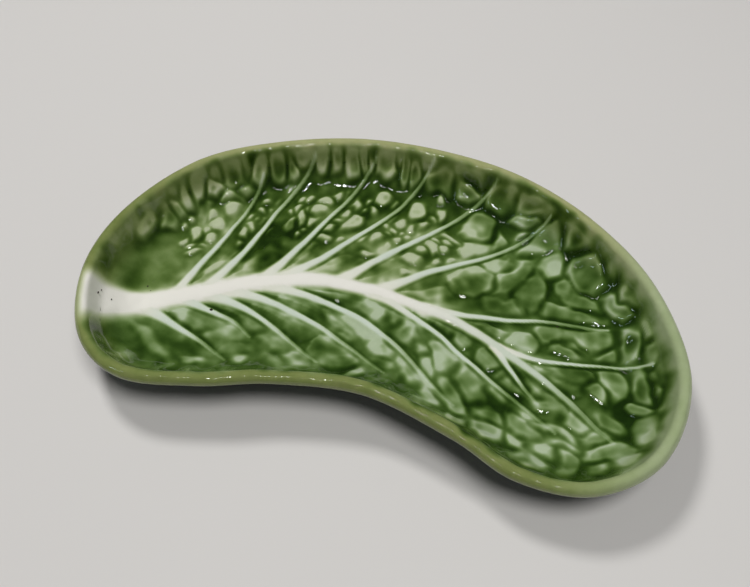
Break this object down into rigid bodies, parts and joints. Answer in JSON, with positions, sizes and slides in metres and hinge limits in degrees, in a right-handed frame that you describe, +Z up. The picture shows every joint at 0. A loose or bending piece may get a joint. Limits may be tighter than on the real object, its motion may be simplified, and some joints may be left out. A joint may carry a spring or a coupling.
{
  "type": "serving dish",
  "caption": "Shallow crescent-shaped ceramic serving dish moulded as a cabbage leaf, with a rolled olive rim, white midrib, pale side veins and a standing ring.",
  "frame": {"origin": "on the table, under the middle of the dish's length and width", "axes": "+X from the stem end to the tip, +Y towards the round back, +Z up"},
  "size_m": [0.2249, 0.131, 0.025],
  "materials": {
    "underside_glaze": "dark green gloss glaze",
    "bare_clay": "bare fired earthenware, wiped free of glaze",
    "rim_glaze": "olive gloss glaze, thin over pale clay",
    "leaf_glaze": "translucent green gloss glaze, pooled dark in the hollows",
    "stem_glaze": "cream white gloss glaze",
    "vein_glaze": "pale mint gloss glaze"
  },
  "bodies": {
    "root": {"clay_body": "underside_glaze", "foot_ring": "bare_clay", "rim": "rim_glaze", "leaf_blade": "leaf_glaze", "midrib": "stem_glaze", "back_vein_1": "vein_glaze", "back_vein_2": "vein_glaze", "back_vein_3": "vein_glaze", "back_vein_4": "vein_glaze", "back_vein_5": "vein_glaze", "back_vein_6": "vein_glaze", "tip_vein_1": "vein_glaze", "tip_vein_2": "vein_glaze", "front_vein_1": "vein_glaze", "front_vein_2": "vein_glaze", "front_vein_3": "vein_glaze", "front_vein_4": "vein_glaze", "front_vein_5": "vein_glaze", "front_vein_6": "vein_glaze", "front_vein_7": "vein_glaze"}
  },
  "joints": []
}
